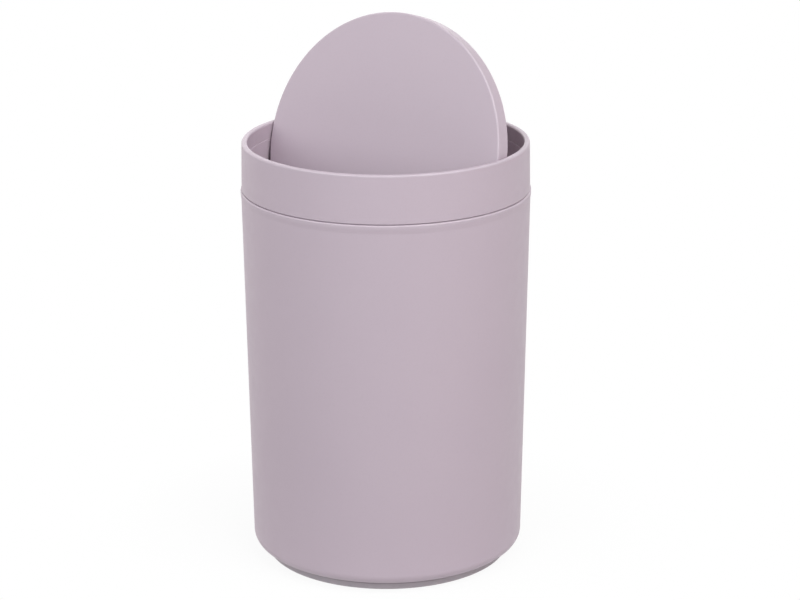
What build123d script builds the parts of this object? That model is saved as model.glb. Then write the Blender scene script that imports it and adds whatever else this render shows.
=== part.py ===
from build123d import *
import math
import os

# A small round countertop bin: a tapered tub on a soft foot ring, a collar that
# lifts off, and a round lid that swings in the collar on two dowels.
# Millimetres. +Z is up, and the origin is the centre of the surface it stands on.
# The lid's pivot axis runs along X, and the lid opens by its front (-Y) half going down.

# ---- driving dimensions ----
# whole bin
rim_height = 226.0  # from the table to the top of the collar
rim_radius = 75.0  # outside of the collar at its top
draft = 1.0  # degrees, the moulding draft of every outer wall

# tub
tub_wall = 1.8
tub_floor = 2.2
tub_step = 0.25  # how far the tub's wall stands proud of the collar at the seam
tub_bottom_round = 5.6
tub_rim_round = 0.7
tub_mouth_round = 0.4
rim_band_proud = 0.3  # how far the thicker band at the tub's mouth stands out from its wall
rim_band_height = 2.0
rim_band_blend = 2.5  # height over which the band runs out into the wall

# foot ring and the rib that holds it
foot_height = 4.8
foot_outer_radius = 65.1
foot_width = 6.0
foot_edge_round = 0.6
foot_top_round = 1.4  # leaves a dark line under the tub
foot_rib_width = 1.6
foot_rib_drop = 3.0
foot_rib_gap = 0.1

# collar
collar_height = 25.5
lip_wall = 3.0  # thickness of the collar's upper band
lip_depth = 8.8  # height of that band
lip_inner_draft = 3.0  # degrees, how much the band's inner face opens towards its foot
lip_round = 1.0
collar_foot_round = 0.3
band_edge_round = 0.2
seam_line_height = 0.4  # the shadow line between the collar and the tub
seam_line_depth = 0.9

# ring inside the collar
ring_wall = 1.2
ring_plug_depth = 12.0  # how far it reaches down into the tub's mouth
ring_edge_round = 0.3
plug_gap = 0.35  # between the plug and the tub's mouth
ring_fit = 0.05  # between the ring and the collar's bore
bead_height = 1.4
bead_proud = 0.3
bead_above_seam = 6.0
bead_gap = 0.1

# lid
pivot_below_rim = 6.0
lid_thickness = 9.0
lid_gap = 0.25  # between the collar and the lid's corners as they swing past
lid_face_wall = 1.6
lid_skirt_wall = 1.8
lid_face_round = 0.8
lid_back_round = 0.6
cover_thickness = 2.0
cover_gap = 0.1
cover_edge_round = 0.3
cover_ledge = 1.0
rib_wall = 1.2
rib_count = 6
rib_inner_radius = 12.0
rib_outer_radius = 56.0
rib_gap = 0.3
lid_opened = 73.9  # degrees from closed, as it stands here

# pivot dowels and their sockets
dowel_radius = 1.5
dowel_length = 12.0
dowel_chamfer = 0.3
dowel_press = 0.01  # between a dowel and its boss
dowel_running = 0.06  # between a dowel and its socket
dowel_pass = 0.2  # between a dowel's tip and the collar's bore, as the lid goes in
dowel_end_play = 0.15
boss_width = 8.0
boss_back_wall = 1.5
seat_width = 6.0
seat_gap = 0.1

# ---- worked out from these ----
slope = math.tan(math.radians(draft))
seam_height = rim_height - collar_height
pivot_height = rim_height - pivot_below_rim
band_bottom = rim_height - lip_depth

collar_foot_radius = rim_radius + collar_height * slope
lip_inner_radius = rim_radius - lip_wall
lip_foot_radius = lip_inner_radius + lip_depth * math.tan(math.radians(lip_inner_draft))
seam_line_top = seam_height + seam_line_height
seam_line_radius = collar_foot_radius - seam_line_depth
tub_rim_radius = collar_foot_radius + tub_step
tub_base_radius = tub_rim_radius - (seam_height - foot_height) * slope
tub_mouth_radius = tub_rim_radius - tub_wall
floor_top = foot_height + tub_floor
band_radius = tub_rim_radius + rim_band_proud
band_foot = seam_height - rim_band_height
blend_foot = band_foot - rim_band_blend

ring_outer_radius = tub_mouth_radius - plug_gap
ring_inner_radius = ring_outer_radius - ring_wall
bore_radius = ring_outer_radius + ring_fit
plug_bottom = seam_height - ring_plug_depth
plug_taper = ring_plug_depth * slope

lid_half = lid_thickness / 2
lid_radius = math.sqrt((lip_inner_radius - lid_gap) ** 2 - lid_half**2)
lid_front = pivot_height + lid_half
lid_back = pivot_height - lid_half
cover_recess_radius = lid_radius - lid_skirt_wall
cover_seat = lid_back + cover_thickness
lid_ceiling = lid_front - lid_face_wall

dowel_tip = bore_radius - dowel_pass
dowel_root = dowel_tip - dowel_length
socket_end = dowel_tip + dowel_end_play
socket_radius = dowel_radius + dowel_running


# ---- shapes shared by the pieces ----
def turned(*corners):
    """A solid turned about Z from a closed outline; each corner is radius, height and rounding."""
    points = [(radius, height) for radius, height, rounding in corners]
    roundings = [rounding for radius, height, rounding in corners]
    outline = FilletPolyline(*points, radius=roundings, close=True)
    return revolve(Plane.XZ * make_face(outline), Axis.Z)


def tube(inner, outer, bottom, top):
    """A plain ring between two radii and two heights."""
    return turned((inner, bottom, 0), (outer, bottom, 0), (outer, top, 0), (inner, top, 0))


def block(x_from, x_to, width, bottom, top):
    """A box from one x to another, centred on y = 0."""
    place = Pos((x_from + x_to) / 2, 0, (bottom + top) / 2)
    return place * Box(x_to - x_from, width, top - bottom)


def pivot_rod(radius, x_from, x_to):
    """A round bar along the pivot axis."""
    place = Pos((x_from + x_to) / 2, 0, pivot_height) * Rot(0, 90, 0)
    return place * Cylinder(radius, x_to - x_from)


def on_both_sides(shape):
    """The shape and its copy turned half round about Z."""
    return [shape, Rot(0, 0, 180) * shape]


def opened(shape):
    """The shape swung about the pivot axis from closed to where the lid stands."""
    return shape.rotate(Axis((0, 0, pivot_height), (1, 0, 0)), lid_opened)


# ---- pieces ----
def make_tub():
    """The tapered tub with a thicker band at its mouth, and a rib underneath for the foot ring."""
    inner_base_radius = tub_mouth_radius - (seam_height - floor_top) * slope
    tub = turned(
        (0, foot_height, 0),
        (tub_base_radius, foot_height, tub_bottom_round),
        (tub_rim_radius - (seam_height - blend_foot) * slope, blend_foot, 0),
        (band_radius - (seam_height - band_foot) * slope, band_foot, 0),
        (band_radius, seam_height, tub_rim_round),
        (tub_mouth_radius, seam_height, tub_mouth_round),
        (inner_base_radius, floor_top, tub_bottom_round - tub_wall),
        (0, floor_top, 0),
    )
    rib_outer = foot_outer_radius - (foot_width - foot_rib_width) / 2
    rib = tube(rib_outer - foot_rib_width, rib_outer, foot_height - foot_rib_drop, floor_top)
    return tub + rib


def make_foot_ring():
    """The soft ring that the bin stands on, pushed over the rib under the floor."""
    ring = turned(
        (foot_outer_radius - foot_width, 0, foot_edge_round),
        (foot_outer_radius, 0, foot_edge_round),
        (foot_outer_radius, foot_height, foot_top_round),
        (foot_outer_radius - foot_width, foot_height, 0),
    )
    groove_outer = foot_outer_radius - (foot_width - foot_rib_width) / 2 + foot_rib_gap
    groove_inner = groove_outer - foot_rib_width - 2 * foot_rib_gap
    groove_bottom = foot_height - foot_rib_drop - foot_rib_gap
    return ring - tube(groove_inner, groove_outer, groove_bottom, foot_height)


def make_collar():
    """The outer collar: a thick lip, a thinner wall, a shadow line at its foot and two sockets."""
    collar = turned(
        (lip_inner_radius, rim_height, lip_round),
        (rim_radius, rim_height, lip_round),
        (collar_foot_radius - seam_line_height * slope, seam_line_top, collar_foot_round),
        (seam_line_radius, seam_line_top, 0),
        (seam_line_radius, seam_height, 0),
        (bore_radius, seam_height, 0),
        (bore_radius, band_bottom, 0),
        (lip_foot_radius, band_bottom, band_edge_round),
    )
    groove_middle = seam_height + bead_above_seam
    groove_half = bead_height / 2 + bead_gap
    groove_radius = ring_outer_radius + bead_proud + bead_gap
    groove = tube(
        ring_inner_radius, groove_radius, groove_middle - groove_half, groove_middle + groove_half
    )
    slot_width = seat_width + 2 * ring_fit
    slot = block(lip_inner_radius - lip_wall, socket_end, slot_width, band_bottom, pivot_height)
    slot += pivot_rod(socket_radius, lip_inner_radius - lip_wall, socket_end)
    collar -= groove
    for cut in on_both_sides(slot):
        collar -= cut
    return collar


def make_inner_ring():
    """The ring inside the collar: it closes both sockets from below and plugs into the tub."""
    ring = turned(
        (ring_inner_radius, band_bottom, ring_edge_round),
        (ring_outer_radius, band_bottom, 0),
        (ring_outer_radius, seam_height, 0),
        (ring_outer_radius - plug_taper, plug_bottom, ring_edge_round),
        (ring_inner_radius - plug_taper, plug_bottom, ring_edge_round),
        (ring_inner_radius, seam_height, 0),
    )
    bead_middle = seam_height + bead_above_seam
    bead_radius = ring_outer_radius + bead_proud
    ring += turned(
        (ring_outer_radius - ring_wall / 2, bead_middle - bead_height / 2, 0),
        (ring_outer_radius, bead_middle - bead_height / 2, 0),
        (bead_radius, bead_middle, 0),
        (ring_outer_radius, bead_middle + bead_height / 2, 0),
        (ring_outer_radius - ring_wall / 2, bead_middle + bead_height / 2, 0),
    )
    seat_bottom = band_bottom - ring_wall
    seat_top = pivot_height - seat_gap
    wall = tube(ring_inner_radius, ring_outer_radius, seat_bottom, seat_top)
    seat = wall & block(0, rim_radius, seat_width, seat_bottom, seat_top)
    seat -= pivot_rod(socket_radius, dowel_root, rim_radius)
    for piece in on_both_sides(seat):
        ring += piece
    return ring


def make_lid_shell():
    """The lid's face and edge in one shell, open at the back, with a boss for each dowel."""
    shell = turned(
        (0, lid_front, 0),
        (lid_radius, lid_front, lid_face_round),
        (lid_radius, lid_back, lid_back_round),
        (cover_recess_radius, lid_back, 0),
        (cover_recess_radius, cover_seat, 0),
        (cover_recess_radius - cover_ledge, cover_seat, 0),
        (cover_recess_radius - cover_ledge, lid_ceiling, 0),
        (0, lid_ceiling, 0),
    )
    boss_top = lid_ceiling + lid_face_wall / 2
    boss = block(dowel_root - boss_back_wall, cover_recess_radius, boss_width, cover_seat, boss_top)
    bore = pivot_rod(dowel_radius + dowel_press, dowel_root, rim_radius)
    for piece in on_both_sides(boss):
        shell += piece
    for cut in on_both_sides(bore):
        shell -= cut
    return opened(shell)


def make_lid_cover():
    """The plate that closes the lid's back, with stiffening ribs on its inner side."""
    cover_radius = cover_recess_radius - cover_gap
    cover = turned(
        (0, lid_back, 0),
        (cover_radius, lid_back, cover_edge_round),
        (cover_radius, cover_seat, 0),
        (0, cover_seat, 0),
    )
    rib_top = lid_ceiling - rib_gap
    rib_bottom = lid_back + cover_thickness / 2
    rib = block(rib_inner_radius - rib_wall / 2, rib_outer_radius, rib_wall, rib_bottom, rib_top)
    for number in range(rib_count):
        cover += Rot(0, 0, 360 * (number + 0.5) / rib_count) * rib
    cover += tube(rib_inner_radius - rib_wall, rib_inner_radius, rib_bottom, rib_top)
    return opened(cover)


def make_dowel():
    """One pivot dowel, on the +X side."""
    dowel = pivot_rod(dowel_radius, dowel_root, dowel_tip)
    ends = dowel.edges().filter_by(GeomType.CIRCLE)
    return opened(chamfer(ends, dowel_chamfer))


right_dowel = make_dowel()
pieces = {
    "bin_body": make_tub(),
    "base_foot_ring": make_foot_ring(),
    "collar_ring": make_collar(),
    "collar_inner_ring": make_inner_ring(),
    "lid_top_shell": make_lid_shell(),
    "lid_underside_cover": make_lid_cover(),
    "pivot_pin_right": right_dowel,
    "pivot_pin_left": mirror(right_dowel, Plane.YZ),
}

os.makedirs("parts", exist_ok=True)
for name, piece in pieces.items():
    export_step(piece, f"parts/{name}.step")
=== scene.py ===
import math

import bmesh
import bpy
import numpy as np
from mathutils import Matrix, Vector


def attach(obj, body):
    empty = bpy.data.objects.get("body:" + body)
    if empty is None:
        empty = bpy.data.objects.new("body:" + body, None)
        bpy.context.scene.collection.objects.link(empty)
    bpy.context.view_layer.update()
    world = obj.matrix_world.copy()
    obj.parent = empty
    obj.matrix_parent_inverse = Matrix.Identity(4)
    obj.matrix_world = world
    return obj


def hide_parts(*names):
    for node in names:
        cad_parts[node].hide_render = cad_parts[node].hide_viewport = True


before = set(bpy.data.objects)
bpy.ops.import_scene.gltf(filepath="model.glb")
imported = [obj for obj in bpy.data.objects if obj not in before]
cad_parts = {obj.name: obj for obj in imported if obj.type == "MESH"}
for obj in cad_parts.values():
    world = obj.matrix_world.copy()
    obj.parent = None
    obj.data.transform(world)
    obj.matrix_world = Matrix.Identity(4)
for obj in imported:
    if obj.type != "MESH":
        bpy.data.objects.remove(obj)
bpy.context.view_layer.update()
print("frame loaded:", ", ".join(sorted(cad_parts)))

# A small round countertop bin. Its settings are in mm and those of the studio in metres. +Z is
# up, the bin stands on z = 0, the lid turns about a line along X, and -Y is the front.

mm = 0.001

wholeBin = {
    "rimHeight": 226.0,
    "rimRadius": 75.0,
    "draft": 1.0,  # degrees
    "collarHeight": 25.5,
    "pivotBelowRim": 6.0,
    "lidOpened": 73.9,  # degrees from closed
}
slope = math.tan(math.radians(wholeBin["draft"]))
seamHeight = wholeBin["rimHeight"] - wholeBin["collarHeight"]
pivotHeight = wholeBin["rimHeight"] - wholeBin["pivotBelowRim"]
collarFootRadius = wholeBin["rimRadius"] + wholeBin["collarHeight"] * slope

meshing = {
    "columns": 384,  # round the bin
    "rodColumns": 64,
    "windowColumns": 28,  # across each pivot window of the collar
    "arcStep": 8.0,  # degrees between the points of a rounding
    "guard": 0.25,  # mm from a rounding to the point that keeps its shading off the flat
    "longestRow": 12.0,  # mm between points on the flats
    "sharpAngle": 34.0,  # degrees, above which an edge stays crisp
    "largestWornRound": 1.3,  # mm, roundings up to this one show handling
    "near": 0.01,  # mm, past any rounding error of a row's place
    "mergeGap": 0.002,  # mm, points closer than this are one
    "foldGap": 0.001,  # mm, faces flatter than this go
}


def roundedSection(corners):
    # Corners are (radius, height, rounding) in mm, anticlockwise round the section. A section
    # that starts on the axis is open, and any other one is closed. Each corner is cut back
    # by rounding / tan(half its angle) along both sides, and an arc joins the two cuts.
    # Gives the points, and for each one 1 on a small rounding and 0 elsewhere.
    spots = np.array([corner[:2] for corner in corners], float)
    isClosed = spots[0, 0] > 0
    points, worn = [], []
    for number, (radius, height, rounding) in enumerate(corners):
        spot = spots[number]
        isEnd = not isClosed and number in (0, len(corners) - 1)
        if isEnd or rounding == 0:
            points.append(spot[None])
            worn.append([0.0])
            continue
        before = spots[number - 1] - spot
        after = spots[(number + 1) % len(corners)] - spot
        toBefore = before / np.linalg.norm(before)
        toAfter = after / np.linalg.norm(after)
        halfAngle = math.acos(np.clip(toBefore @ toAfter, -1, 1)) / 2
        cutBack = rounding / math.tan(halfAngle)
        middle = toBefore + toAfter
        centre = spot + middle / np.linalg.norm(middle) * rounding / math.sin(halfAngle)
        first = spot + toBefore * cutBack - centre
        last = spot + toAfter * cutBack - centre
        sweep = math.pi - 2 * halfAngle
        turn = np.sign(first[0] * last[1] - first[1] * last[0])
        steps = max(3, math.ceil(math.degrees(sweep) / meshing["arcStep"]))
        angles = np.linspace(0, sweep, steps + 1) * turn
        cosines, sines = np.cos(angles)[:, None], np.sin(angles)[:, None]
        arc = centre + first * cosines + np.array([-first[1], first[0]]) * sines
        isWorn = float(rounding <= meshing["largestWornRound"])
        guards = [meshing["guard"] * side for side in (toBefore, toAfter)]
        roomNeeded = cutBack + 2 * meshing["guard"]
        hasRoom = [np.linalg.norm(side) > roomNeeded for side in (before, after)]
        if hasRoom[0]:
            points.append((arc[0] + guards[0])[None])
            worn.append([0.0])
        points.append(arc)
        worn.append(np.full(len(arc), isWorn))
        if hasRoom[1]:
            points.append((arc[-1] + guards[1])[None])
            worn.append([0.0])
    points, worn = np.concatenate(points), np.concatenate(worn)
    if isClosed:
        points, worn = np.vstack([points, points[:1]]), np.append(worn, worn[0])
    lengths = np.linalg.norm(np.diff(points, axis=0), axis=1)
    along = np.concatenate([[0], np.cumsum(lengths)])
    parts = np.maximum(1, np.ceil(lengths / meshing["longestRow"])).astype(int)
    stops = [np.linspace(along[i], along[i + 1], parts[i] + 1)[:-1] for i in range(len(parts))]
    stops = np.concatenate(stops + ([] if isClosed else [along[-1:]]))
    section = np.stack([np.interp(stops, along, values) for values in points.T], 1)
    return section, np.interp(stops, along, worn), isClosed


def meshFromGrid(name, points, worn, isClosed):
    # A grid of columns round the axis and rows along the section, in mm. Neighbours are joined
    # by four-sided faces, columns join up round the axis, and rows join up if the section is
    # closed.
    columns, rows = points.shape[:2]
    column = np.arange(columns)[:, None]
    row = np.arange(rows if isClosed else rows - 1)[None, :]
    nextColumn, nextRow = (column + 1) % columns, (row + 1) % rows
    corners = [column * rows + row, nextColumn * rows + row]
    corners += [nextColumn * rows + nextRow, column * rows + nextRow]
    faces = np.stack(corners, -1).reshape(-1, 4)
    mesh = bpy.data.meshes.new(name)
    mesh.vertices.add(columns * rows)
    mesh.vertices.foreach_set("co", (points * mm).ravel())
    mesh.loops.add(faces.size)
    mesh.loops.foreach_set("vertex_index", faces.ravel())
    mesh.polygons.add(len(faces))
    mesh.polygons.foreach_set("loop_start", np.arange(0, faces.size, 4))
    mesh.update(calc_edges=True)
    wear = mesh.attributes.new("edgeWear", "FLOAT", "POINT")
    wear.data.foreach_set("value", np.broadcast_to(worn, (columns, rows)).ravel())
    return mesh


def mergedPoints(mesh):
    # The mesh opened for editing, with the points that meet at a pole or at a step made one.
    work = bmesh.new()
    work.from_mesh(mesh)
    bmesh.ops.remove_doubles(work, verts=work.verts, dist=meshing["mergeGap"] * mm)
    return work


def closedMesh(mesh):
    # Points that meet are merged, flat-folded faces go, and faces point out.
    work = mergedPoints(mesh)
    bmesh.ops.dissolve_degenerate(work, edges=work.edges, dist=meshing["foldGap"] * mm)
    if work.calc_volume(signed=True) < 0:
        bmesh.ops.reverse_faces(work, faces=work.faces)
    work.to_mesh(mesh)
    work.free()
    return mesh


def addObject(name, data):
    added = bpy.data.objects.new(name, data)
    bpy.context.scene.collection.objects.link(added)
    return added


def anglesRound(columns):
    # Even angles round a full turn, in radians.
    return np.arange(columns) * 2 * math.pi / columns


def turnedPiece(name, corners):
    # The section carried round Z: its point (r, z) lands at (r cos a, r sin a, z) for each
    # angle a.
    section, worn, isClosed = roundedSection(corners)
    return sweptPiece(name, anglesRound(meshing["columns"]), section[None], worn, isClosed)


def sweptPiece(name, angles, sections, worn, isClosed):
    # Like turnedPiece, with a section for each angle: column k has the points of sections[k].
    radius = np.broadcast_to(sections[..., 0], (len(angles), sections.shape[1]))
    height = np.broadcast_to(sections[..., 1], radius.shape)
    around = np.asarray(angles)[:, None]
    points = np.stack([radius * np.cos(around), radius * np.sin(around), height], -1)
    return addObject(name, closedMesh(meshFromGrid(name, points, worn, isClosed)))


def rodAlongX(name, fromX, toX, radius, chamfer=0.0):
    # A rod turned about Z and laid along X through the pivot, with both ends chamfered.
    length = toX - fromX
    corners = [(0, 0, 0), (radius - chamfer, 0, 0), (radius, chamfer, 0)]
    corners += [(radius, length - chamfer, 0), (radius - chamfer, length, 0), (0, length, 0)]
    section, worn, isClosed = roundedSection(corners)
    angles = anglesRound(meshing["rodColumns"])
    piece = sweptPiece(name, angles, section[None], worn, isClosed)
    start = Matrix.Translation((fromX * mm, 0, pivotHeight * mm))
    piece.data.transform(start @ Matrix.Rotation(math.pi / 2, 4, "Y"))
    return piece


def blockPiece(name, fromX, toX, width, bottom, top):
    # A box from one x to another, centred on y = 0: a four-column sweep of one square step.
    xs = np.array([toX, fromX, fromX, toX])
    ys = np.array([1, 1, -1, -1]) * width / 2
    low = np.stack([xs, ys, np.full(4, bottom)], -1)
    high = np.stack([xs, ys, np.full(4, top)], -1)
    centres = [np.broadcast_to(ring.mean(0), (4, 3)) for ring in (low, high)]
    points = np.stack([centres[0], low, high, centres[1]], 1)
    return addObject(name, closedMesh(meshFromGrid(name, points, np.zeros(4), False)))


def combine(piece, other, operation):
    # Joins other to piece or cuts it away, keeps the result as a plain mesh and drops other.
    modifier = piece.modifiers.new("combine", "BOOLEAN")
    modifier.operation = operation
    modifier.solver = "EXACT"
    modifier.object = other
    evaluated = piece.evaluated_get(bpy.context.evaluated_depsgraph_get())
    made = bpy.data.meshes.new_from_object(evaluated)
    piece.modifiers.clear()
    piece.data = made
    bpy.data.objects.remove(other)


def swungOpen(piece):
    # Turns a lid piece's mesh about the pivot from closed to where the lid stands.
    pivot = Matrix.Translation((0, 0, pivotHeight * mm))
    turn = Matrix.Rotation(math.radians(wholeBin["lidOpened"]), 4, "X")
    piece.data.transform(pivot @ turn @ pivot.inverted())


def finishPiece(piece, material, slotName, bodyName, *nodes):
    # Smooth shading with crisp corners, the material, and what the piece stands for and rides on.
    piece.data.shade_smooth()
    piece.data.set_sharp_from_angle(angle=math.radians(meshing["sharpAngle"]))
    piece.data.materials.clear()
    piece.data.materials.append(material)
    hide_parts(*nodes)
    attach(piece, bodyName)
    print(piece.name, "done,", len(piece.data.polygons), "faces")


def toLinear(hexColour):
    # An sRGB hex colour as the linear RGBA that a shader takes.
    channels = np.array([int(hexColour[start:start + 2], 16) for start in (1, 3, 5)]) / 255
    linear = np.where(channels <= 0.04045, channels / 12.92, ((channels + 0.055) / 1.055) ** 2.4)
    return (*linear.tolist(), 1.0)


def addNode(tree, kind, settings, inputs):
    # settings go on the node, and each input is a plain value or the socket that feeds it.
    node = tree.nodes.new(kind)
    for name, value in settings.items():
        setattr(node, name, value)
    for name, value in inputs.items():
        if isinstance(value, bpy.types.NodeSocket):
            tree.links.new(value, node.inputs[name])
        else:
            node.inputs[name].default_value = value
    return node


def newMaterial(name):
    material = bpy.data.materials.new(name)
    material.use_nodes = True
    material.node_tree.nodes.clear()
    return material, material.node_tree


def perMetre(size):
    # The Scale of a pattern whose features are this many mm apart.
    return 1000.0 / size


# A Mix node's sockets by number, because those for colours and for numbers share their names.
mixShare = 0
colourA, colourB, mixedColour = 6, 7, 2
numberA, numberB, mixedNumber = 2, 3, 0


# Polypropylene, injection moulded in colour in a fine spark-eroded tool. It gives the eye an even,
# dull skin with no gloss line, a very slight cloudiness where the melt flowed, and edges that
# are a little smoother where the tool was polished and hands rub. Those small roundings are also a
# little paler, partly from that wear and partly as a painted highlight.
mauvePlastic = {
    "colour": "#B9A8B4",
    "cloudColour": "#B6A5B2",
    "cloudSize": 45.0,  # mm, as all sizes and depths of patterns
    "cloudNoise": {"Detail": 3.0, "Roughness": 0.45},
    "speckColour": "#B4A3AF",
    "speckSize": 1.1,
    "speckNoise": {"Detail": 2.0, "Roughness": 0.6},
    "speckRange": (0.52, 0.78),  # of the noise, over which a speck comes in
    "speckShare": 0.6,
    # paler small roundings: partly wear, partly a painted highlight
    "edgeWearAndHighlightColour": "#BDADB9",
    "rubSize": 6.0,
    "rubNoise": {"Detail": 4.0},
    "rubRange": (0.3, 0.7),
    "rubLeast": 0.45,  # the part of the wear that every edge has
    "roughness": 0.45,
    "roughnessSpread": 0.05,
    "edgeRoughness": 0.42,
    "grainSize": 0.7,  # the real grain is 0.1 mm, too fine to show, so it is drawn coarser
    "grainNoise": {"Detail": 2.0, "Roughness": 0.6},
    "grainDepth": 0.006,
    "waveSize": 9.0,  # slow unevenness of the tool and of shrinkage
    "waveNoise": {"Detail": 1.0},
    "waveDepth": 0.012,
    "ior": 1.49,
}


def makeMauvePlastic(settings):
    material, tree = newMaterial("mouldedPolypropylene")
    place = addNode(tree, "ShaderNodeTexCoord", {}, {}).outputs["Object"]
    clouds = addNode(tree, "ShaderNodeTexNoise", {}, {
        "Vector": place, "Scale": perMetre(settings["cloudSize"]), **settings["cloudNoise"]})
    specks = addNode(tree, "ShaderNodeTexNoise", {}, {
        "Vector": place, "Scale": perMetre(settings["speckSize"]), **settings["speckNoise"]})
    speckAmount = addNode(tree, "ShaderNodeMapRange", {}, {
        "Value": specks.outputs["Fac"], "From Min": settings["speckRange"][0],
        "From Max": settings["speckRange"][1], "To Max": settings["speckShare"]})
    wear = addNode(tree, "ShaderNodeAttribute", {"attribute_name": "edgeWear"}, {})
    rubbed = addNode(tree, "ShaderNodeTexNoise", {}, {
        "Vector": place, "Scale": perMetre(settings["rubSize"]), **settings["rubNoise"]})
    rubbedAmount = addNode(tree, "ShaderNodeMapRange", {}, {
        "Value": rubbed.outputs["Fac"], "From Min": settings["rubRange"][0],
        "From Max": settings["rubRange"][1], "To Min": settings["rubLeast"]})
    edge = addNode(tree, "ShaderNodeMath", {"operation": "MULTIPLY"}, {
        0: wear.outputs["Fac"], 1: rubbedAmount.outputs["Result"]})
    clouded = addNode(tree, "ShaderNodeMix", {"data_type": "RGBA"}, {
        mixShare: clouds.outputs["Fac"], colourA: toLinear(settings["colour"]),
        colourB: toLinear(settings["cloudColour"])})
    specked = addNode(tree, "ShaderNodeMix", {"data_type": "RGBA"}, {
        mixShare: speckAmount.outputs["Result"], colourA: clouded.outputs[mixedColour],
        colourB: toLinear(settings["speckColour"])})
    # partly painted highlight: small roundings take the paler colour, which also stands for their
    # wear
    edgeWornAndHighlighted = addNode(tree, "ShaderNodeMix", {"data_type": "RGBA"}, {
        mixShare: edge.outputs["Value"], colourA: specked.outputs[mixedColour],
        colourB: toLinear(settings["edgeWearAndHighlightColour"])})
    dullness = addNode(tree, "ShaderNodeMapRange", {}, {
        "Value": rubbed.outputs["Fac"], "From Min": settings["rubRange"][0],
        "From Max": settings["rubRange"][1],
        "To Min": settings["roughness"] - settings["roughnessSpread"],
        "To Max": settings["roughness"] + settings["roughnessSpread"]})
    edgeDullness = addNode(tree, "ShaderNodeMix", {"data_type": "FLOAT"}, {
        mixShare: edge.outputs["Value"], numberA: dullness.outputs["Result"],
        numberB: settings["edgeRoughness"]})
    grain = addNode(tree, "ShaderNodeTexNoise", {}, {
        "Vector": place, "Scale": perMetre(settings["grainSize"]), **settings["grainNoise"]})
    waves = addNode(tree, "ShaderNodeTexNoise", {}, {
        "Vector": place, "Scale": perMetre(settings["waveSize"]), **settings["waveNoise"]})
    waveBump = addNode(tree, "ShaderNodeBump", {}, {
        "Height": waves.outputs["Fac"], "Distance": settings["waveDepth"] * mm, "Strength": 1.0})
    grainBump = addNode(tree, "ShaderNodeBump", {}, {
        "Height": grain.outputs["Fac"], "Distance": settings["grainDepth"] * mm, "Strength": 1.0,
        "Normal": waveBump.outputs["Normal"]})
    skin = addNode(tree, "ShaderNodeBsdfPrincipled", {}, {
        "Base Color": edgeWornAndHighlighted.outputs[mixedColour], "Roughness": edgeDullness.outputs[mixedNumber],
        "IOR": settings["ior"], "Normal": grainBump.outputs["Normal"]})
    addNode(tree, "ShaderNodeOutputMaterial", {}, {"Surface": skin.outputs["BSDF"]})
    return material


# Thermoplastic elastomer, moulded: a soft, dead-matt skin with a slight bloom, greyer than the
# tub, scuffed along the edge that it stands on, and with painted shade darkening its top under
# the tub.
softFoot = {
    "colour": "#ADA2AA",
    "bloomColour": "#B7ADB4",
    "bloomSize": 5.0,
    "bloomNoise": {"Detail": 5.0, "Roughness": 0.6},
    "shadeColour": "#8A8087",  # painted shade at the top of the ring, in the corner under the tub
    "shadeHeights": (2.7, 3.7),  # mm above the worktop, over which the painted shade comes in
    "roughness": 0.72,
    "edgeRoughness": 0.6,
    "grainSize": 0.6,
    "grainNoise": {"Detail": 3.0},
    "grainDepth": 0.02,
    "ior": 1.5,
}


def makeSoftFoot(settings):
    material, tree = newMaterial("mouldedElastomer")
    place = addNode(tree, "ShaderNodeTexCoord", {}, {}).outputs["Object"]
    bloom = addNode(tree, "ShaderNodeTexNoise", {}, {
        "Vector": place, "Scale": perMetre(settings["bloomSize"]), **settings["bloomNoise"]})
    wear = addNode(tree, "ShaderNodeAttribute", {"attribute_name": "edgeWear"}, {})
    bloomed = addNode(tree, "ShaderNodeMix", {"data_type": "RGBA"}, {
        mixShare: bloom.outputs["Fac"], colourA: toLinear(settings["colour"]),
        colourB: toLinear(settings["bloomColour"])})
    # painted shade: the colour darkens towards the top of the ring, where it meets the tub
    height = addNode(tree, "ShaderNodeSeparateXYZ", {}, {"Vector": place}).outputs["Z"]
    shadeShare = addNode(tree, "ShaderNodeMapRange", {}, {
        "Value": height, "From Min": settings["shadeHeights"][0] * mm,
        "From Max": settings["shadeHeights"][1] * mm})
    shadedTop = addNode(tree, "ShaderNodeMix", {"data_type": "RGBA"}, {
        mixShare: shadeShare.outputs["Result"], colourA: bloomed.outputs[mixedColour],
        colourB: toLinear(settings["shadeColour"])})
    dullness = addNode(tree, "ShaderNodeMix", {"data_type": "FLOAT"}, {
        mixShare: wear.outputs["Fac"], numberA: settings["roughness"],
        numberB: settings["edgeRoughness"]})
    grain = addNode(tree, "ShaderNodeTexNoise", {}, {
        "Vector": place, "Scale": perMetre(settings["grainSize"]), **settings["grainNoise"]})
    grainBump = addNode(tree, "ShaderNodeBump", {}, {
        "Height": grain.outputs["Fac"], "Distance": settings["grainDepth"] * mm, "Strength": 1.0})
    skin = addNode(tree, "ShaderNodeBsdfPrincipled", {}, {
        "Base Color": shadedTop.outputs[mixedColour], "Roughness": dullness.outputs[mixedNumber],
        "IOR": settings["ior"], "Normal": grainBump.outputs["Normal"]})
    addNode(tree, "ShaderNodeOutputMaterial", {}, {"Surface": skin.outputs["BSDF"]})
    return material


# Stainless steel, centreless ground: a grey metal with fine rings round the rod.
groundSteel = {
    "colour": "#B9B9BB",
    "ringColour": "#A4A4A8",
    "ringSize": 0.25,
    "ringNoise": {"Detail": 3.0},
    "ringStretch": 0.05,  # scale across the rod, so that the noise is drawn out into rings
    "ringDepth": 0.003,
    "roughness": 0.28,
    "roughnessSpread": 0.06,
}


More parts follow.
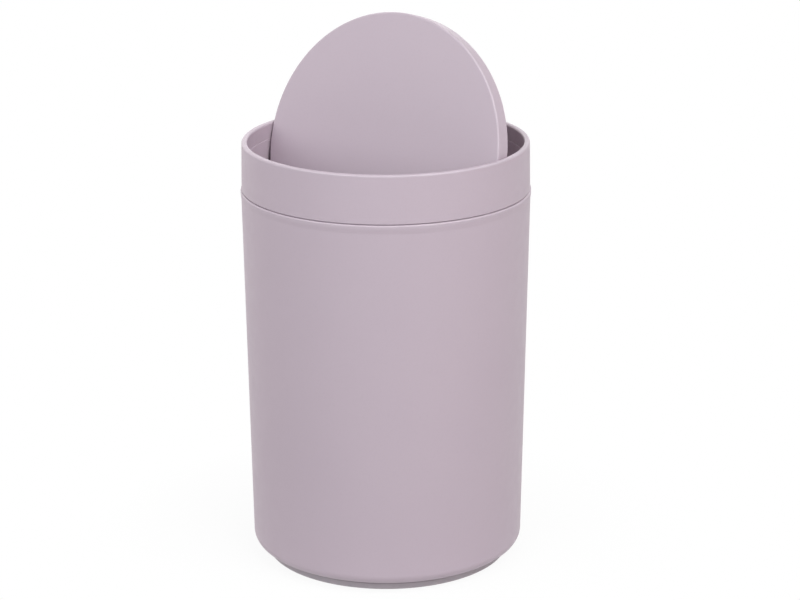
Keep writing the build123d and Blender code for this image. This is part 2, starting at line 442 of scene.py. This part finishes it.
def makeGroundSteel(settings):
    material, tree = newMaterial("groundStainlessSteel")
    place = addNode(tree, "ShaderNodeTexCoord", {}, {}).outputs["Object"]
    alongRod = addNode(tree, "ShaderNodeMapping", {}, {
        "Vector": place, "Scale": (1.0, settings["ringStretch"], settings["ringStretch"])})
    rings = addNode(tree, "ShaderNodeTexNoise", {}, {
        "Vector": alongRod.outputs["Vector"], "Scale": perMetre(settings["ringSize"]),
        **settings["ringNoise"]})
    ringed = addNode(tree, "ShaderNodeMix", {"data_type": "RGBA"}, {
        mixShare: rings.outputs["Fac"], colourA: toLinear(settings["colour"]),
        colourB: toLinear(settings["ringColour"])})
    dullness = addNode(tree, "ShaderNodeMapRange", {}, {
        "Value": rings.outputs["Fac"],
        "To Min": settings["roughness"] - settings["roughnessSpread"],
        "To Max": settings["roughness"] + settings["roughnessSpread"]})
    ringBump = addNode(tree, "ShaderNodeBump", {}, {
        "Height": rings.outputs["Fac"], "Distance": settings["ringDepth"] * mm, "Strength": 1.0})
    skin = addNode(tree, "ShaderNodeBsdfPrincipled", {}, {
        "Base Color": ringed.outputs[mixedColour], "Roughness": dullness.outputs["Result"],
        "Metallic": 1.0, "Normal": ringBump.outputs["Normal"]})
    addNode(tree, "ShaderNodeOutputMaterial", {}, {"Surface": skin.outputs["BSDF"]})
    return material


plasticMaterial = makeMauvePlastic(mauvePlastic)
elastomerMaterial = makeSoftFoot(softFoot)
steelMaterial = makeGroundSteel(groundSteel)
print("materials done")

tub = {
    "baseHeight": 4.8,
    "wall": 1.8,
    "floor": 2.2,
    "step": 0.25,  # how far its wall stands proud of the collar at the seam
    "bandProud": 0.3,  # how far the thicker band at its mouth stands out from the wall
    "bandHeight": 2.0,
    "bandBlend": 2.5,  # height over which the band runs out into the wall
    "blendRounds": (6.0, 3.0),  # where the blend leaves the wall, and where it meets the band
    "bottomRound": 5.6,
    "rimRound": 0.7,
    "mouthRound": 0.4,
    "ribOuter": 62.9,  # the rib under its floor, which holds the foot ring
    "ribWidth": 1.6,
    "ribDrop": 3.0,
    "ribRound": 0.4,
    "ribFootRound": 0.3,
    "gateRadius": 1.1,  # where the melt went in, under the middle of the floor
    "gateHeight": 0.35,
    "gateLean": 0.1,
    "gateRound": 0.15,
    "dishRadius": 5.0,  # the dish that keeps the gate off the worktop
    "dishDepth": 0.6,
    "dishLean": 0.5,
    "dishRounds": (0.3, 0.2),  # in its corner and at its edge
    "poppetRadius": 21.0,  # ring left inside by the valve that blows the tub off its core
    "poppetWidth": 0.5,
    "poppetDepth": 0.15,
    "poppetRound": 0.1,
}
tubRimRadius = collarFootRadius + tub["step"]
tubMouthRadius = tubRimRadius - tub["wall"]


def makeTub():
    # From the middle of the underside out, up the outside, and down the inside to the middle.
    base, floorTop = tub["baseHeight"], tub["baseHeight"] + tub["floor"]
    outerBase = tubRimRadius - (seamHeight - base) * slope
    innerBase = tubMouthRadius - (seamHeight - floorTop) * slope
    dishTop = base + tub["dishDepth"]
    gateBottom = dishTop - tub["gateHeight"]
    ribInner, ribBottom = tub["ribOuter"] - tub["ribWidth"], base - tub["ribDrop"]
    poppetOuter = tub["poppetRadius"] + tub["poppetWidth"]
    poppetBottom = floorTop - tub["poppetDepth"]
    bandRadius, bandFoot = tubRimRadius + tub["bandProud"], seamHeight - tub["bandHeight"]
    blendFoot = bandFoot - tub["bandBlend"]
    return turnedPiece("tub", [
        (0, gateBottom, 0),
        (tub["gateRadius"], gateBottom, tub["gateRound"]),
        (tub["gateRadius"] + tub["gateLean"], dishTop, 0),
        (tub["dishRadius"] - tub["dishLean"], dishTop, tub["dishRounds"][0]),
        (tub["dishRadius"], base, tub["dishRounds"][1]),
        (ribInner, base, tub["ribFootRound"]),
        (ribInner, ribBottom, tub["ribRound"]),
        (tub["ribOuter"], ribBottom, tub["ribRound"]),
        (tub["ribOuter"], base, tub["ribFootRound"]),
        (outerBase, base, tub["bottomRound"]),
        (tubRimRadius - (seamHeight - blendFoot) * slope, blendFoot, tub["blendRounds"][0]),
        (bandRadius - (seamHeight - bandFoot) * slope, bandFoot, tub["blendRounds"][1]),
        (bandRadius, seamHeight, tub["rimRound"]),
        (tubMouthRadius, seamHeight, tub["mouthRound"]),
        (innerBase, floorTop, tub["bottomRound"] - tub["wall"]),
        (poppetOuter, floorTop, tub["poppetRound"]),
        (poppetOuter, poppetBottom, 0),
        (tub["poppetRadius"], poppetBottom, 0),
        (tub["poppetRadius"], floorTop, tub["poppetRound"]),
        (0, floorTop, 0),
    ])


finishPiece(makeTub(), plasticMaterial, "moulded_polypropylene", "bin", "bin_body")

footRing = {
    "height": 4.8,
    "outerRadius": 65.1,
    "width": 6.0,
    "edgeRound": 0.6,
    "topRound": 1.4,
    "innerTopRound": 0.2,
    "grooveGap": 0.1,  # round the tub's rib
    "treadRadii": (61.1, 63.1),  # two fine grooves in the face that it stands on
    "treadWidth": 0.5,
    "treadDepth": 0.35,
    "treadRounds": (0.1, 0.05),  # at its lips and in its corners
}


def makeFootRing():
    # Along the face that it stands on, up the outside, and over the groove to the inside.
    outer, inner = footRing["outerRadius"], footRing["outerRadius"] - footRing["width"]
    top, edge = footRing["height"], footRing["edgeRound"]
    grooveOuter = tub["ribOuter"] + footRing["grooveGap"]
    grooveInner = tub["ribOuter"] - tub["ribWidth"] - footRing["grooveGap"]
    grooveBottom = top - tub["ribDrop"] - footRing["grooveGap"]
    corners = [(inner, 0, edge)]
    treadDepth, (lipRound, cornerRound) = footRing["treadDepth"], footRing["treadRounds"]
    for radius in footRing["treadRadii"]:
        start, end = radius - footRing["treadWidth"] / 2, radius + footRing["treadWidth"] / 2
        corners += [(start, 0, lipRound), (start, treadDepth, cornerRound)]
        corners += [(end, treadDepth, cornerRound), (end, 0, lipRound)]
    corners += [
        (outer, 0, edge),
        (outer, top, footRing["topRound"]),
        (grooveOuter, top, 0),
        (grooveOuter, grooveBottom, 0),
        (grooveInner, grooveBottom, 0),
        (grooveInner, top, 0),
        (inner, top, footRing["innerTopRound"]),
    ]
    return turnedPiece("footRing", corners)


finishPiece(makeFootRing(), elastomerMaterial, "foot_elastomer", "bin", "base_foot_ring")

dowel = {
    "radius": 1.5,
    "length": 12.0,
    "chamfer": 0.3,
    "bossGap": 0.01,  # round it in the lid
    "socketGap": 0.06,  # round it in the collar
    "endPlay": 0.15,  # past its tip
    "tipInset": 0.2,  # its tip's place inside the collar's bore, so that the collar passes it
}

collar = {
    "lipWall": 3.0,
    "lipDepth": 8.8,
    "lipInnerDraft": 3.0,  # degrees
    "lipRound": 1.0,
    "footRound": 0.3,
    "bandEdgeRound": 0.2,
    "seamLineHeight": 0.4,  # the shadow line between the collar and the tub
    "seamLineDepth": 0.9,
    "seamLineRound": 0.1,
    "seatWidth": 6.0,  # of the inner ring's seat under each dowel
    "seatGap": 0.1,
    "socketRow": 0.15,  # how far inside the socket's end a row of points lies, to be moved there
    "footRows": 0.6,  # height of the lip's foot that is cut up to the socket's roof
}

innerRing = {
    "wall": 1.2,
    "plugDepth": 12.0,
    "edgeRound": 0.2,
    "plugGap": 0.35,  # to the tub's mouth
    "fit": 0.05,  # to the collar's bore
    "beadHeight": 1.4,  # the bead that snaps it into the collar
    "beadProud": 0.3,
    "beadRound": 0.2,
    "beadAboveSeam": 6.0,
    "beadGap": 0.1,
}
lipInnerRadius = wholeBin["rimRadius"] - collar["lipWall"]
bandBottom = wholeBin["rimHeight"] - collar["lipDepth"]
lipInnerSlope = math.tan(math.radians(collar["lipInnerDraft"]))
lipFootRadius = lipInnerRadius + collar["lipDepth"] * lipInnerSlope
ringOuterRadius = tubMouthRadius - innerRing["plugGap"]
ringInnerRadius = ringOuterRadius - innerRing["wall"]
boreRadius = ringOuterRadius + innerRing["fit"]
dowelTip = boreRadius - dowel["tipInset"]
dowelRoot = dowelTip - dowel["length"]
socketEnd = dowelTip + dowel["endPlay"]
socketRadius = dowel["radius"] + dowel["socketGap"]


def anglesWithWindow(halfWidth, radius):
    # Angles round the bin, with close columns across a window at +X and one at -X. At each
    # window's edges two columns share one angle, so that the section can step there.
    # Gives the angles, and for each one how far it lies across its window, or nan outside.
    halfAngle = math.asin(halfWidth / radius)
    inside = np.linspace(-halfAngle, halfAngle, meshing["windowColumns"] + 1)
    outside = np.linspace(halfAngle, math.pi - halfAngle, meshing["columns"] // 2)
    halfRound = np.concatenate([inside, outside])
    across = np.concatenate([np.sin(inside) * radius, np.full(len(outside), np.nan)])
    return np.concatenate([halfRound, halfRound + math.pi]), np.tile(across, 2)


def socketRise(across):
    # How far the sockets reach above and below the pivot, by the distance across them: the
    # height of a half circle, and 0 beside it and outside the windows.
    across = np.nan_to_num(across, nan=socketRadius)
    return np.sqrt(np.clip(socketRadius**2 - across**2, 0, None))


def makeCollar():
    # Outside the two windows the section is the plain collar. Inside a window, its lip's foot
    # is cut up to the socket's roof, which is flat at the sides and half round over the dowel.
    bead, half = seamHeight + innerRing["beadAboveSeam"], innerRing["beadHeight"] / 2
    grooveHalf = half + innerRing["beadGap"]
    grooveRadius = ringOuterRadius + innerRing["beadProud"] + innerRing["beadGap"]
    seamLineTop = seamHeight + collar["seamLineHeight"]
    seamLineRadius = collarFootRadius - collar["seamLineDepth"]
    outside = [
        (wholeBin["rimRadius"], wholeBin["rimHeight"], collar["lipRound"]),
        (lipInnerRadius, wholeBin["rimHeight"], collar["lipRound"]),
        (lipFootRadius, bandBottom, collar["bandEdgeRound"]),
        (socketEnd - collar["socketRow"], bandBottom, 0),
        (boreRadius, bandBottom, 0),
        (boreRadius, bead + grooveHalf, 0),
        (grooveRadius, bead + grooveHalf, 0),
        (grooveRadius, bead - grooveHalf, 0),
        (boreRadius, bead - grooveHalf, 0),
        (boreRadius, seamHeight, collar["seamLineRound"]),
        (seamLineRadius, seamHeight, collar["seamLineRound"]),
        (seamLineRadius, seamLineTop, 0),
        (collarFootRadius - collar["seamLineHeight"] * slope, seamLineTop, collar["footRound"]),
    ]
    section, worn, isClosed = roundedSection(outside)
    angles, across = anglesWithWindow(collar["seatWidth"] / 2 + innerRing["fit"], lipInnerRadius)
    sections = np.broadcast_to(section, (len(angles), *section.shape)).copy()
    isWindow = ~np.isnan(across)
    roof = (pivotHeight + socketRise(across))[:, None]
    # rows of the lip's wall and underside go up to the roof, where the wall keeps to its draft
    # and the last row of the underside goes out to the socket's end
    radius, height = section[:, 0], section[:, 1]
    near = meshing["near"]
    isUnderside = (radius < boreRadius - near) & (height < bandBottom + collar["footRows"])
    isWall = radius < lipFootRadius + collar["bandEdgeRound"] + near
    isRaised = isWindow[:, None] & (isUnderside | isWall) & (height < roof)
    wallRadius = lipInnerRadius + (wholeBin["rimHeight"] - roof) * lipInnerSlope
    sections[:, :, 0] = np.where(isRaised & isWall, wallRadius, sections[:, :, 0])
    isSocketRow = isRaised & (radius > socketEnd - collar["socketRow"] - near)
    sections[:, :, 0] = np.where(isSocketRow, socketEnd, sections[:, :, 0])
    sections[:, :, 1] = np.where(isRaised, roof, height)
    return sweptPiece("collarBand", angles, sections, worn, isClosed)


finishPiece(makeCollar(), plasticMaterial, "moulded_polypropylene", "collar", "collar_ring")


def makeInnerRing():
    # The plain ring, whose top rises in each window to a seat with a half-round notch for the
    # dowel.
    bead, half = seamHeight + innerRing["beadAboveSeam"], innerRing["beadHeight"] / 2
    plugBottom = seamHeight - innerRing["plugDepth"]
    taper = innerRing["plugDepth"] * slope
    edge = innerRing["edgeRound"]
    section, worn, isClosed = roundedSection([
        (ringOuterRadius, bandBottom, 0),
        (ringInnerRadius, bandBottom, edge),
        (ringInnerRadius, seamHeight, 0),
        (ringInnerRadius - taper, plugBottom, edge),
        (ringOuterRadius - taper, plugBottom, edge),
        (ringOuterRadius, seamHeight, 0),
        (ringOuterRadius, bead - half, 0),
        (ringOuterRadius + innerRing["beadProud"], bead, innerRing["beadRound"]),
        (ringOuterRadius, bead + half, 0),
    ])
    angles, across = anglesWithWindow(collar["seatWidth"] / 2, ringInnerRadius)
    sections = np.broadcast_to(section, (len(angles), *section.shape)).copy()
    isWindow = ~np.isnan(across)
    notch = pivotHeight - socketRise(across)
    seatTop = np.minimum(notch, pivotHeight - collar["seatGap"])
    isTop = section[:, 1] > bandBottom - edge - meshing["near"]
    isInside = section[:, 0] < ringInnerRadius + edge + meshing["near"]
    radii = np.where(isInside, ringInnerRadius, section[:, 0])
    sections[:, :, 1] = np.where(isWindow[:, None] & isTop, seatTop[:, None], sections[:, :, 1])
    sections[:, :, 0] = np.where(isWindow[:, None] & isTop, radii, sections[:, :, 0])
    return sweptPiece("collarInnerRing", angles, sections, worn, isClosed)


finishPiece(makeInnerRing(), plasticMaterial, "moulded_polypropylene", "collar",
            "collar_inner_ring")

lid = {
    "thickness": 9.0,
    "gap": 0.25,  # to the inside of the collar's lip, as it swings past
    "faceWall": 1.6,
    "skirtWall": 1.8,
    "faceRound": 0.8,
    "backRound": 0.6,
    "recessRound": 0.1,
    "coverThickness": 2.0,
    "coverGap": 0.1,
    "coverEdgeRound": 0.3,
    "coverLedge": 1.0,
    "bossWidth": 8.0,  # the boss that holds each dowel
    "bossBackWall": 1.5,
    "bossInset": 0.3,  # from the recess's wall
    "bossLift": 0.01,  # from the cover's seat
    "ribWall": 1.2,
    "ribCount": 6,
    "ribInner": 12.0,
    "ribOuter": 56.0,
    "ribGap": 0.3,
}
halfThickness = lid["thickness"] / 2
lidRadius = math.sqrt((lipInnerRadius - lid["gap"]) ** 2 - halfThickness**2)
lidFace, lidBack = pivotHeight + halfThickness, pivotHeight - halfThickness
recessRadius = lidRadius - lid["skirtWall"]
coverSeat = lidBack + lid["coverThickness"]
lidCeiling = lidFace - lid["faceWall"]


def makeLidShell():
    # Over the face, down the edge, and round the recess and its ledge to the inside of the face.
    shell = turnedPiece("lidShell", [
        (0, lidFace, 0),
        (lidRadius, lidFace, lid["faceRound"]),
        (lidRadius, lidBack, lid["backRound"]),
        (recessRadius, lidBack, lid["recessRound"]),
        (recessRadius, coverSeat, 0),
        (recessRadius - lid["coverLedge"], coverSeat, 0),
        (recessRadius - lid["coverLedge"], lidCeiling, 0),
        (0, lidCeiling, 0),
    ])
    bossFoot, bossTop = coverSeat + lid["bossLift"], lidCeiling + lid["faceWall"] / 2
    bossStart, bossEnd = dowelRoot - lid["bossBackWall"], recessRadius - lid["bossInset"]
    for side in (1, -1):
        ends = sorted((side * bossStart, side * bossEnd))
        combine(shell, blockPiece("boss", *ends, lid["bossWidth"], bossFoot, bossTop), "UNION")
        ends = sorted((side * dowelRoot, side * wholeBin["rimRadius"]))
        bore = rodAlongX("bore", *ends, dowel["radius"] + dowel["bossGap"])
        combine(shell, bore, "DIFFERENCE")
    swungOpen(shell)
    return shell


finishPiece(makeLidShell(), plasticMaterial, "moulded_polypropylene", "lid", "lid_top_shell")


def makeLidCover():
    # A plate with a round rib on its inside, and straight ribs from there outwards.
    ribTop, ribFoot = lidCeiling - lid["ribGap"], lidBack + lid["coverThickness"] / 2
    ribStart = lid["ribInner"] - lid["ribWall"] / 2
    cover = turnedPiece("lidCover", [
        (0, lidBack, 0),
        (recessRadius - lid["coverGap"], lidBack, lid["coverEdgeRound"]),
        (recessRadius - lid["coverGap"], coverSeat, 0),
        (lid["ribInner"], coverSeat, 0),
        (lid["ribInner"], ribTop, 0),
        (lid["ribInner"] - lid["ribWall"], ribTop, 0),
        (lid["ribInner"] - lid["ribWall"], coverSeat, 0),
        (0, coverSeat, 0),
    ])
    for number in range(lid["ribCount"]):
        rib = blockPiece("rib", ribStart, lid["ribOuter"], lid["ribWall"], ribFoot, ribTop)
        turn = 2 * math.pi * (number + 0.5) / lid["ribCount"]
        rib.data.transform(Matrix.Rotation(turn, 4, "Z"))
        combine(cover, rib, "UNION")
    swungOpen(cover)
    return cover


finishPiece(makeLidCover(), plasticMaterial, "moulded_polypropylene", "lid", "lid_underside_cover")

for sideName, side in (("Right", 1), ("Left", -1)):
    ends = sorted((side * dowelRoot, side * dowelTip))
    rod = rodAlongX("pivotDowel" + sideName, *ends, dowel["radius"], dowel["chamfer"])
    swungOpen(rod)
    finishPiece(rod, steelMaterial, "dowel_steel", "lid", "pivot_pin_" + sideName.lower())

studio = {
    # all lengths in metres
    "floorRadius": 4.0,
    "floorRings": 24,
    "firstRing": 0.05,
    "floorColumns": 96,
    "floorDrop": 0.00005,  # below the bin's foot
    "floorColour": "#F2F1F1",  # where its shadow shows
    "sheetColour": "#DAD9D9",  # the pale sheet under the bin, as the bin's base is lit by it
    "sheetReach": (0.068, 0.11),  # from the middle, over which it gives way to the table
    "tableColour": "#BAB8B8",
    "shadowStrength": 0.09,  # the share of the shadow that shows beside the foot
    "shadowReach": (0.066, 0.17),  # over which that fades out
    "surround": 0.34,
    "aimHeight": 0.13,
    "softboxes": {
        # azimuth and elevation in degrees, distance, width, height, level and tint
        "keySoftbox": (70.0, 30.0, 1.8, 1.3, 1.3, 1.28, "#FEFBF5"),
        "highSoftbox": (80.0, 50.0, 1.8, 1.3, 1.3, 3.5, "#F8FFFC"),
        "frontSoftbox": (-20.0, 40.0, 1.3, 1.0, 1.0, 1.32, "#F2FFFB"),
        "centreSoftbox": (10.0, 25.0, 1.5, 1.0, 1.0, 1.82, "#F4FFFF"),
        "leftSoftbox": (-60.0, 25.0, 1.8, 1.3, 1.3, 0.7, "#FFF2F0"),
        "sideSoftbox": (-100.0, 10.0, 1.8, 1.3, 0.8, 1.3, "#FFF2F0"),
        "rightSoftbox": (110.0, 30.0, 1.8, 1.3, 1.3, 0.32, "#FFF6F4"),
        "backSoftbox": (215.0, 15.0, 1.8, 1.3, 1.1, 1.0, "#FFFFFF"),
    },
}
pureWhite = (1.0, 1.0, 1.0, 1.0)


def seenShare(tree):
    # 1 on a ray from the camera, a reflection or clear glass, and 0 on one that gathers light.
    paths = addNode(tree, "ShaderNodeLightPath", {}, {})
    seen = addNode(tree, "ShaderNodeMath", {"operation": "MAXIMUM"}, {
        0: paths.outputs["Is Camera Ray"], 1: paths.outputs["Is Glossy Ray"]})
    seenAtAll = addNode(tree, "ShaderNodeMath", {"operation": "MAXIMUM"}, {
        0: seen.outputs["Value"], 1: paths.outputs["Is Transmission Ray"]})
    return seenAtAll.outputs["Value"]


def makePaleFloor():
    # Seen, it is plain white with a part of the bin's shadow; unseen, it lights the bin as a
    # pale sheet on a greyer table does.
    material, tree = newMaterial("paleFloor")
    seen = seenShare(tree)
    place = addNode(tree, "ShaderNodeTexCoord", {}, {}).outputs["Object"]
    distance = addNode(tree, "ShaderNodeVectorMath", {"operation": "LENGTH"}, {0: place})
    shadowShare = addNode(tree, "ShaderNodeMapRange", {}, {
        "Value": distance.outputs["Value"],
        "From Min": studio["shadowReach"][0], "From Max": studio["shadowReach"][1],
        "To Min": studio["shadowStrength"], "To Max": 0.0})
    tableShare = addNode(tree, "ShaderNodeMapRange", {}, {
        "Value": distance.outputs["Value"],
        "From Min": studio["sheetReach"][0], "From Max": studio["sheetReach"][1]})
    unlitShare = addNode(tree, "ShaderNodeMath", {"operation": "SUBTRACT"}, {
        0: 1.0, 1: shadowShare.outputs["Result"]})
    whiteShare = addNode(tree, "ShaderNodeMath", {"operation": "MULTIPLY"}, {
        0: unlitShare.outputs["Value"], 1: seen})
    bounce = addNode(tree, "ShaderNodeMix", {"data_type": "RGBA"}, {
        mixShare: tableShare.outputs["Result"], colourA: toLinear(studio["sheetColour"]),
        colourB: toLinear(studio["tableColour"])})
    tone = addNode(tree, "ShaderNodeMix", {"data_type": "RGBA"}, {
        mixShare: seen, colourA: bounce.outputs[mixedColour],
        colourB: toLinear(studio["floorColour"])})
    matt = addNode(tree, "ShaderNodeBsdfDiffuse", {}, {"Color": tone.outputs[mixedColour]})
    white = addNode(tree, "ShaderNodeEmission", {}, {"Color": pureWhite, "Strength": 1.0})
    mixed = addNode(tree, "ShaderNodeMixShader", {}, {
        0: whiteShare.outputs["Value"], 1: matt.outputs["BSDF"], 2: white.outputs["Emission"]})
    addNode(tree, "ShaderNodeOutputMaterial", {}, {"Surface": mixed.outputs["Shader"]})
    return material


def makeFloor():
    # A disc: point (r, a) at (r cos a, r sin a, 0), with closer rings towards the middle.
    rings = np.geomspace(studio["firstRing"], studio["floorRadius"], studio["floorRings"])
    radii = np.concatenate([[0], rings])
    angles = anglesRound(studio["floorColumns"])
    xs, ys = np.outer(np.cos(angles), radii), np.outer(np.sin(angles), radii)
    points = np.stack([xs, ys, np.full(xs.shape, -studio["floorDrop"])], -1) / mm
    mesh = meshFromGrid("floor", points, np.zeros(len(radii)), False)
    work = mergedPoints(mesh)
    work.to_mesh(mesh)
    work.free()
    floor = addObject("floor", mesh)
    mesh.materials.append(makePaleFloor())


def makeWorld():
    # Pale grey light from all round; what the camera and reflections see of it is plain white.
    world = bpy.data.worlds.new("studioSurround")
    world.use_nodes = True
    tree = world.node_tree
    tree.nodes.clear()
    seen = seenShare(tree)
    soft = addNode(tree, "ShaderNodeBackground", {}, {
        "Color": pureWhite, "Strength": studio["surround"]})
    white = addNode(tree, "ShaderNodeBackground", {}, {"Color": pureWhite, "Strength": 1.0})
    mixed = addNode(tree, "ShaderNodeMixShader", {}, {
        0: seen, 1: soft.outputs["Background"], 2: white.outputs["Background"]})
    addNode(tree, "ShaderNodeOutputWorld", {}, {"Surface": mixed.outputs["Shader"]})
    bpy.context.scene.world = world


def makeSoftboxes():
    # Each one faces the middle of the bin. A lamp's power is its level times pi times its area.
    aim = Vector((0, 0, studio["aimHeight"]))
    for name, values in studio["softboxes"].items():
        azimuth, elevation, distance, width, height, level, tint = values
        turn, lift = math.radians(azimuth), math.radians(elevation)
        back = Vector((math.sin(turn) * math.cos(lift), -math.cos(turn) * math.cos(lift),
                       math.sin(lift)))
        lamp = bpy.data.lights.new(name, "AREA")
        lamp.shape = "RECTANGLE"
        lamp.size, lamp.size_y = width, height
        lamp.energy = level * math.pi * width * height
        lamp.color = toLinear(tint)[:3]
        softbox = addObject(name, lamp)
        softbox.location = aim + back * distance
        softbox.rotation_euler = (-back).to_track_quat("-Z", "Y").to_euler()


cameraSettings = {
    "azimuth": 35.0,  # degrees towards +X from straight in front
    "pitch": 17.53,  # degrees below level
    "roll": -0.166,
    "sideways": 7.22,  # mm along the picture's width, from the bin's axis
    "away": 1296.5,
    "height": 547.6,
    "lens": 115.25,
    "sensor": 36.0,
    "clip": (0.05, 50.0),  # metres
}


def makeCamera():
    data = bpy.data.cameras.new("camera")
    data.lens = cameraSettings["lens"]
    data.sensor_width = cameraSettings["sensor"]
    data.clip_start, data.clip_end = cameraSettings["clip"]
    camera = addObject("camera", data)
    turns = [math.radians(cameraSettings[key]) for key in ("azimuth", "pitch", "roll")]
    azimuth, pitch, roll = turns
    spin = Matrix.Rotation(azimuth, 4, "Z")
    sideways, away, height = [cameraSettings[key] for key in ("sideways", "away", "height")]
    place = Matrix.Translation(Vector((sideways, -away, height)) * mm)
    tilt = Matrix.Rotation(math.pi / 2 - pitch, 4, "X") @ Matrix.Rotation(roll, 4, "Z")
    camera.matrix_world = spin @ place @ tilt
    bpy.context.scene.camera = camera


makeFloor()
makeWorld()
makeSoftboxes()
makeCamera()
bpy.context.scene.view_settings.view_transform = "Standard"
print("studio and camera done")

bpy.context.view_layer.update()
